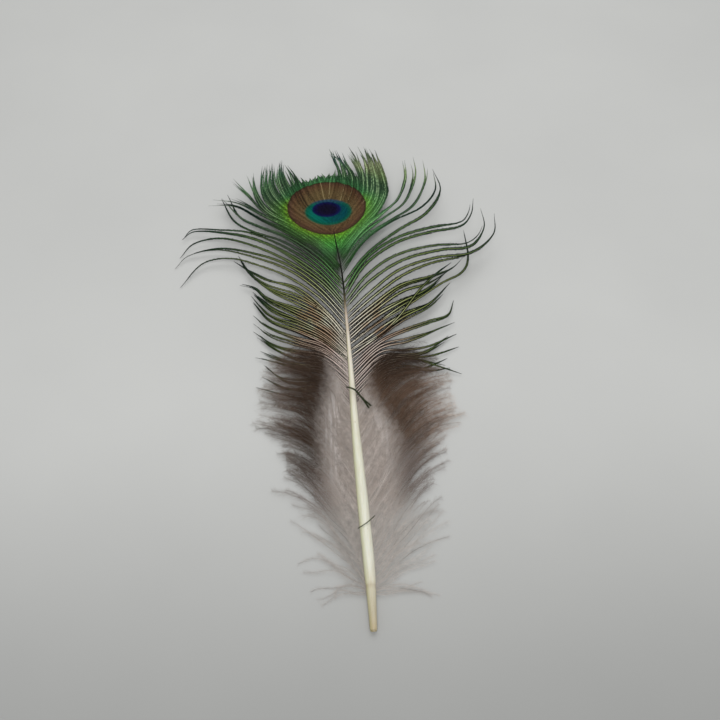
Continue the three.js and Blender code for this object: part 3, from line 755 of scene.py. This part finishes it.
left = groom_eye(LEFT_EYE_ROWS, LEFT_GAPS, rng)
barb_piece("left_eye_vane", left, rng, eye_colours, "eye")
right = groom_eye(RIGHT_EYE_ROWS, RIGHT_GAPS, rng)
barb_piece("right_eye_vane", right, rng, eye_colours, "eye")

# --- Down ---
# The soft base of the feather: thin barbs with long loose barbules that trap air. They are
# pale where they leave the shaft, dark brown where they arch over, and fade to wisps.

LEFT_DOWN = [  # from the top down, each as the rows above
    [-.8,64.5,2, -3.5,68.5,2.6, -5,75.5,3.1, -8,80.5,3.5, -12.5,83.5,3.5, -18,83.5,2.9, -22.5,82,1.9],
    [-.8,56,1.9, -4,62,2.4, -6,69.5,2.9, -9.5,74,3.2, -14.5,77.5,3.1, -20.5,78.5,2.4, -25.5,80.5,1.2],
    [-.8,48,1.9, -4,54,2.3, -7,61.5,2.8, -10.5,67,3, -15.5,70,2.8, -21,72,2, -27,74.5,.9],
    [-.8,40.5,1.8, -4,46,2.2, -7,53,2.6, -11,59,2.8, -15.5,63,2.6, -21.5,65.5,1.8, -28,68.5,.7],
    [-.8,33,1.7, -4,39,2.1, -7.5,45.5,2.4, -11,51.5,2.6, -16,55.5,2.4, -21.5,58,1.6, -27.5,61,.6],
    [-.8,26,1.6, -4,31.5,1.9, -7,38,2.2, -10.5,44,2.3, -15,48.5,2.1, -20,51.5,1.4, -25.5,54,.5],
    [-.8,20,1.4, -3.5,25,1.7, -6,30.5,1.9, -9.5,36,2, -13.5,40.5,1.7, -17.5,44,1.1, -22.5,47,.4],
    [-.8,15.5,1.3, -2.5,19.5,1.5, -5,23.5,1.6, -8,28,1.6, -11.5,32.5,1.4, -15.5,35.5,.9, -20,38,.3],
    [-.8,12,1.2, -2,14.5,1.3, -4,17.5,1.4, -7,21,1.3, -9.5,24,1.1, -14,27.5,.7, -18.5,30,.3],
    [-.8,10,1.1, -1.5,11.5,1.2, -4,13.5,1.1, -7,15,1, -10.5,17,.8, -14,18,.5, -18,18,.2],
    [-.8,9,1, -2,9.5,1, -4.5,9.5,.9, -7,9,.7, -10,8,.4, -13.5,6,.2],
]
RIGHT_DOWN = [
    [.8,64.5,2, 3,68,2.6, 6,74,3.1, 9.5,78,3.5, 14,80.5,3.5, 19,81,2.9, 24,79,1.9],
    [.8,56,1.9, 4,61,2.4, 7,67,2.9, 11,72,3.2, 16,75,3.1, 21.5,76.5,2.4, 27,76.5,1.2],
    [.8,48,1.9, 4,53,2.3, 7.5,59.5,2.8, 11.5,65,3, 16.5,69.5,2.8, 22.5,72.5,2, 28.5,74.5,.9],
    [.8,40.5,1.8, 4,45.5,2.2, 8,52,2.6, 12,58,2.8, 16.5,63,2.6, 22.5,67,1.8, 29.5,69.5,.7],
    [.8,33,1.7, 4,37.5,2.1, 7.5,44,2.4, 11.5,50,2.6, 16,55.5,2.4, 22,60.5,1.6, 29.5,64,.6],
    [.8,26,1.6, 3.5,30.5,1.9, 7,35.5,2.2, 11,41.5,2.3, 16,47,2.1, 21.5,52,1.4, 28.5,56,.5],
    [.8,20,1.4, 3.5,23.5,1.7, 6.5,28.5,1.9, 10.5,33.5,2, 15,39,1.7, 20.5,43.5,1.1, 26,47,.4],
    [.8,15.5,1.3, 3,18,1.5, 6.5,22,1.6, 10,26,1.6, 14,30.5,1.4, 18.5,34.5,.9, 23.5,37,.3],
    [.8,12,1.2, 3,13.5,1.3, 5.5,16,1.4, 9,19,1.3, 12.5,22,1.1, 17.5,25,.7, 23,28,.3],
    [.8,10,1.1, 2.5,11,1.2, 5.5,12,1.1, 9,14,1, 13,15,.8, 17,16,.5, 21,15.5,.2],
    [.8,9,1, 2.5,8.5,1, 5,8,.9, 8,7,.7, 11,5.5,.4, 14,3.5,.2],
]
DOWN_SPACING = (.25, .44)  # mm between barbs at the down's top and foot
DOWN_ROW = 1.3  # mm between the rings of a downy thread
DOWN_STEP = .225  # mm between two pairs of its barbules
DOWN_REACH = 3  # mm, the length of a downy barbule
DOWN_WIDTH = .033  # mm, its width at its root
TIP_SPREAD = 2.4  # mm by which barbs cross their neighbours at the tips
TIP_BEND = 2  # mm by which a tip bends out of its line
TABLE = .12  # mm above the surface that the lowest fluff keeps


def fluff(path, rng, reach, width):
    """One downy barb: its thread, and curled barbules that stand out all round it."""
    t = np.linspace(0, 1, len(path))
    total = lengths(path)[-1]
    rows = max(8, int(total / DOWN_ROW))
    at = np.linspace(0, 1, rows)
    line = between(at, t, path)
    _, side, up = frames(line)
    thick = (.065 - .045 * at)[:, None]
    strip = np.stack([line - side * thick, line + up * thick, line + side * thick], 1)
    count = int(total / DOWN_STEP) * 2
    at2 = (np.arange(count) + rng.uniform(0, 1, count)) / count
    root = between(at2, t, path)
    along2, side2, up2 = frames(root)
    hand = np.where(np.arange(count) % 2, 1, -1)[:, None]
    rise = rng.normal(.15, .55, count)[:, None]
    sweep = rng.uniform(.45, 1.15, count)[:, None]
    way = (side2 * hand * np.cos(rise) + up2 * np.sin(rise)) * np.sin(sweep)
    way += along2 * np.cos(sweep)
    far = (np.interp(at2, t, reach) * rng.uniform(.55, 1.25, count))[:, None]
    curl = (along2 * rng.normal(.12, .25, (count, 1)) - up2 * .18
            + side2 * rng.normal(0, .18, (count, 1))) * far
    middle = root + way * far * .5 + curl * .15
    tip = root + way * far + curl
    flat = np.cross(way, (0, 0, 1))
    flat /= np.linalg.norm(flat, axis=1, keepdims=True) + 1e-9
    flat = flat * width / 2
    blade = np.stack([root - flat, root + flat, middle + flat * .75, middle - flat * .75, tip], 1)
    first = rows * 3 + np.arange(count)[:, None] * 5
    quads = np.concatenate([tube_faces(rows, 3), first + (0, 1, 2, 3)])
    corners = np.concatenate([strip.reshape(-1, 3), blade.reshape(-1, 3)])
    corners[:, 2] = np.maximum(corners[:, 2], TABLE * (1 + .5 * np.sin(corners[:, 0] * 9)))
    fringe = np.concatenate([np.zeros(rows * 3), np.tile([.1, .1, .5, .5, 1], count)])
    return (corners, [quads, first + (3, 2, 4)],
            np.concatenate([np.repeat(at, 3), np.repeat(at2, 5)]), fringe)


def groom_down(rows, rng):
    """Downy barbs laid at random between the set ones, crossing one another towards their tips."""
    paths = [smooth_path(row, PATH_POINTS) for row in rows]
    t = np.linspace(0, 1, PATH_POINTS)
    free = np.clip((t - .15) / .85, 0, 1)
    barbs = []
    for upper, lower in zip(paths, paths[1:]):
        height = upper[0, 1]
        span = max(height - lower[0, 1], 2.5)
        number = int(span / np.interp(height, [14, 40], DOWN_SPACING[::-1]))
        full = np.interp(height, [9, 26], [.7, 1])
        reach = DOWN_REACH * full * (.35 + .65 * np.clip(t / .3, 0, 1)) * (1 - .42 * t)
        for k in range(number):
            share = (k + rng.uniform(0, 1)) / number
            cross = rng.normal(0, TIP_SPREAD / max(span, 5)) * free
            path = upper + (lower - upper) * (share + cross)[:, None]
            path = evenly(path[: int(PATH_POINTS * rng.uniform(.7, 1))], PATH_POINTS)
            path = loosen(path, rng, .5)
            _, side, _ = frames(path)
            path = path + side * (rng.normal(0, TIP_BEND) * t**2)[:, None]
            path[:, 2] += rng.uniform(-.5, .35) * np.clip(t * 5, 0, 1)
            barbs.append(fluff(path, rng, reach * rng.uniform(.62, 1.15), DOWN_WIDTH))
    return barbs


def by_side(left, on_right, on_left):
    """A value that differs between the two sides of the shaft."""
    share = times(add("Math", 1, left, operation="SUBTRACT"), on_right)
    return add("Math", times(left, on_left), share, operation="ADD")


soft_down, shader = new_material("soft_down", .85, .04)
along, fringe, chance = read("along"), read("fringe"), read("chance")
place = add("TexCoord", out=3)
x_at, y_at = x_and_y(place)
cloudy = noise(place, 700, 3, .6)
jitter = add("Math", spread(cloudy, .3, .7, -.0012, .0012),
             spread(chance, 0, 1, -.001, .001, smooth=False), operation="ADD")
left = spread(x_at, -.001, .001, 1, 0)
out = add("Math", add("Math", x_at, operation="ABSOLUTE"), jitter, operation="ADD")
up = add("Math", y_at, jitter, operation="ADD")
band_edge = by_side(left, spread(y_at, .006, .028, .0106, .003),
                    spread(y_at, .01, .034, .0094, .0052))
inner = add("Math", out, band_edge, operation="SUBTRACT")
dark_end = by_side(left, 0, -.0035)
outside = spread(add("Math", out, dark_end, operation="SUBTRACT"), .013, .03, smooth=False)
outer = ramp(outside, (0,.066,.042,.029), (.35,.092,.06,.043), (.65,.165,.119,.095),
             (1,.32,.275,.24))
lighter = by_side(left, spread(y_at, .036, .021, .62, 1.95), .84)
outer = tint(outer, lighter)
pale = ramp(chance, (0,.42,.36,.32), (.6,.51,.445,.405), (.85,.58,.515,.475), (1,.72,.66,.62))
pale = tint(pale, by_side(left, 1, .92))
# Painted sheen: soft white streaks on the pale down just inside the brown band, stronger on the left and
# fading out towards the quill's tip.
sheen_streaks = noise(place, (1500, 110, 0), 2, .5)
painted_sheen = times(spread(inner, -.005, -.0025), spread(inner, -.0002, -.002), spread(y_at, -.01, .004),
              spread(sheen_streaks, .4, .7), by_side(left, .3, .6))
pale = blend(painted_sheen, pale, (.84, .8, .79))
dusky = blend(spread(inner, -.0024, .0044), pale, outer)
brown = blend(spread(inner, -.004, .004), pale, (.225, .18, .16))
faded = ramp(along, (0,.47,.43,.4), (.5,.47,.43,.4), (1,.5,.47,.445))
faded = tint(faded, by_side(left, 1.18, 1))
low_edge = add("Math", up, by_side(left, .004, -.003), operation="SUBTRACT")
soft = blend(spread(low_edge, .006, -.006), dusky, brown)
soft = blend(spread(up, -.008, -.018), soft, faded)
dark_thread = spread(chance, .12, .35, .45, 1)
thread = blend(spread(along, .3, .5), soft, tint(soft, dark_thread))
barbule = tint(soft, spread(cloudy, .3, .7, .8, 1.22, smooth=False))
smoky = times(spread(chance, .2, .1), spread(along, .35, .55, 0, .8))
barbule = blend(smoky, barbule, tint(barbule, (.55, .53, .52)))
tree.links.new(blend(spread(fringe, .02, .12), thread, barbule), shader.inputs["Base Color"])

barb_piece("left_down", groom_down(LEFT_DOWN, rng), rng, soft_down, "down")
barb_piece("right_down", groom_down(RIGHT_DOWN, rng), rng, soft_down, "down")

# --- Loose scraps ---
# Two broken bits of barb that have come off and lie across the shaft, one of them forked.

FORKED_SCRAP = [(-1.8, 69.3, 4.1), (.4, 68.1, 4.2), (2.3, 65.3, 4), (4, 62, 3.8)]
SCRAP_FORK = [(2, 65.9, 4.05), (3.2, 64.2, 4.1), (4.6, 62.4, 4.1)]
SHORT_SCRAP = [(-1.8, 26, 3.2), (.8, 27.5, 3.4), (2.8, 29.2, 3.3)]

scrap_dark, shader = new_material("scrap_dark", .6, .04)
words = barb_values()
dusty = ramp(words["flecks"], (.35,.016,.022,.011), (.65,.05,.06,.03))
faded = spread(words["station"], .25, .35, 5, 1)
barb_surface(shader, words, (.07, .08, .04), dusty, tint((.01, .014, .008), faded))

for node, lines, breadth in (("forked_scrap", [FORKED_SCRAP, SCRAP_FORK], .3),
                             ("short_scrap", [SHORT_SCRAP], .15)):
    wide = np.full(PATH_POINTS, breadth)
    bits = [herl(smooth_path(line, PATH_POINTS), rng, wide, wide * .5, wide * .3) for line in lines]
    barb_piece(node + "_barb", bits, rng, scrap_dark, "scrap", node)

# --- Table, light and camera ---
# A plain pale table top, its colour darkened towards the near side as painted shade, under soft light
# from a window on the far side and a fill from the near side, seen from above the quill's end.

FLOOR_HALF = 1.5  # m
LENS = 45.41  # mm, for a 36 mm wide picture
CAMERA = (-.009163, -.120217, .216)  # m
LOOK_DOWN = 54  # degrees below level
HEADING = 4.455  # degrees from the shaft towards the right

cloth, shader = new_material("table_top", .9)
place = add("TexCoord", out=3)
plain = ramp(noise(place, 14, 3, .5), (.3,.545,.548,.538), (.7,.575,.578,.566))
# Painted shade: the table's colour darkens towards the near side, in place of the light's fall-off.
nearer = spread(x_and_y(place)[1], -.09, .03, .58, 1)
tree.links.new(tint(plain, nearer), shader.inputs["Base Color"])
mesh = bpy.data.meshes.new("table_top")
mesh.from_pydata([(x * FLOOR_HALF, y * FLOOR_HALF, 0) for x, y in
                  ((-1, -1), (1, -1), (1, 1), (-1, 1))], [], [(0, 1, 2, 3)])
mesh.materials.append(cloth)
table = bpy.data.objects.new("table_top", mesh)
bpy.context.scene.collection.objects.link(table)

world = bpy.data.worlds.new("soft_room")
world.use_nodes = True
world.node_tree.nodes["Background"].inputs["Color"].default_value = (.97, .98, .97, 1)
world.node_tree.nodes["Background"].inputs["Strength"].default_value = .46
bpy.context.scene.world = world

for name, size, energy, spot, turn in (
        ("window", .5, 1, (.04, .28, .45), (-26, 4, 0)),
        ("room_fill", .25, 1.3, (-.03, -.3, .5), (34, -3, 0))):
    lamp = bpy.data.lights.new(name, "AREA")
    lamp.shape = "DISK"
    lamp.size = size
    lamp.energy = energy
    light = bpy.data.objects.new(name, lamp)
    light.location = spot
    light.rotation_euler = [math.radians(degrees) for degrees in turn]
    bpy.context.scene.collection.objects.link(light)

camera_data = bpy.data.cameras.new("camera")
camera_data.lens = LENS
camera_data.sensor_width = 36
camera = bpy.data.objects.new("camera", camera_data)
camera.location = CAMERA
camera.rotation_euler = (math.radians(90 - LOOK_DOWN), 0, math.radians(-HEADING))
bpy.context.scene.collection.objects.link(camera)
bpy.context.scene.camera = camera
bpy.context.scene.view_settings.view_transform = "Standard"
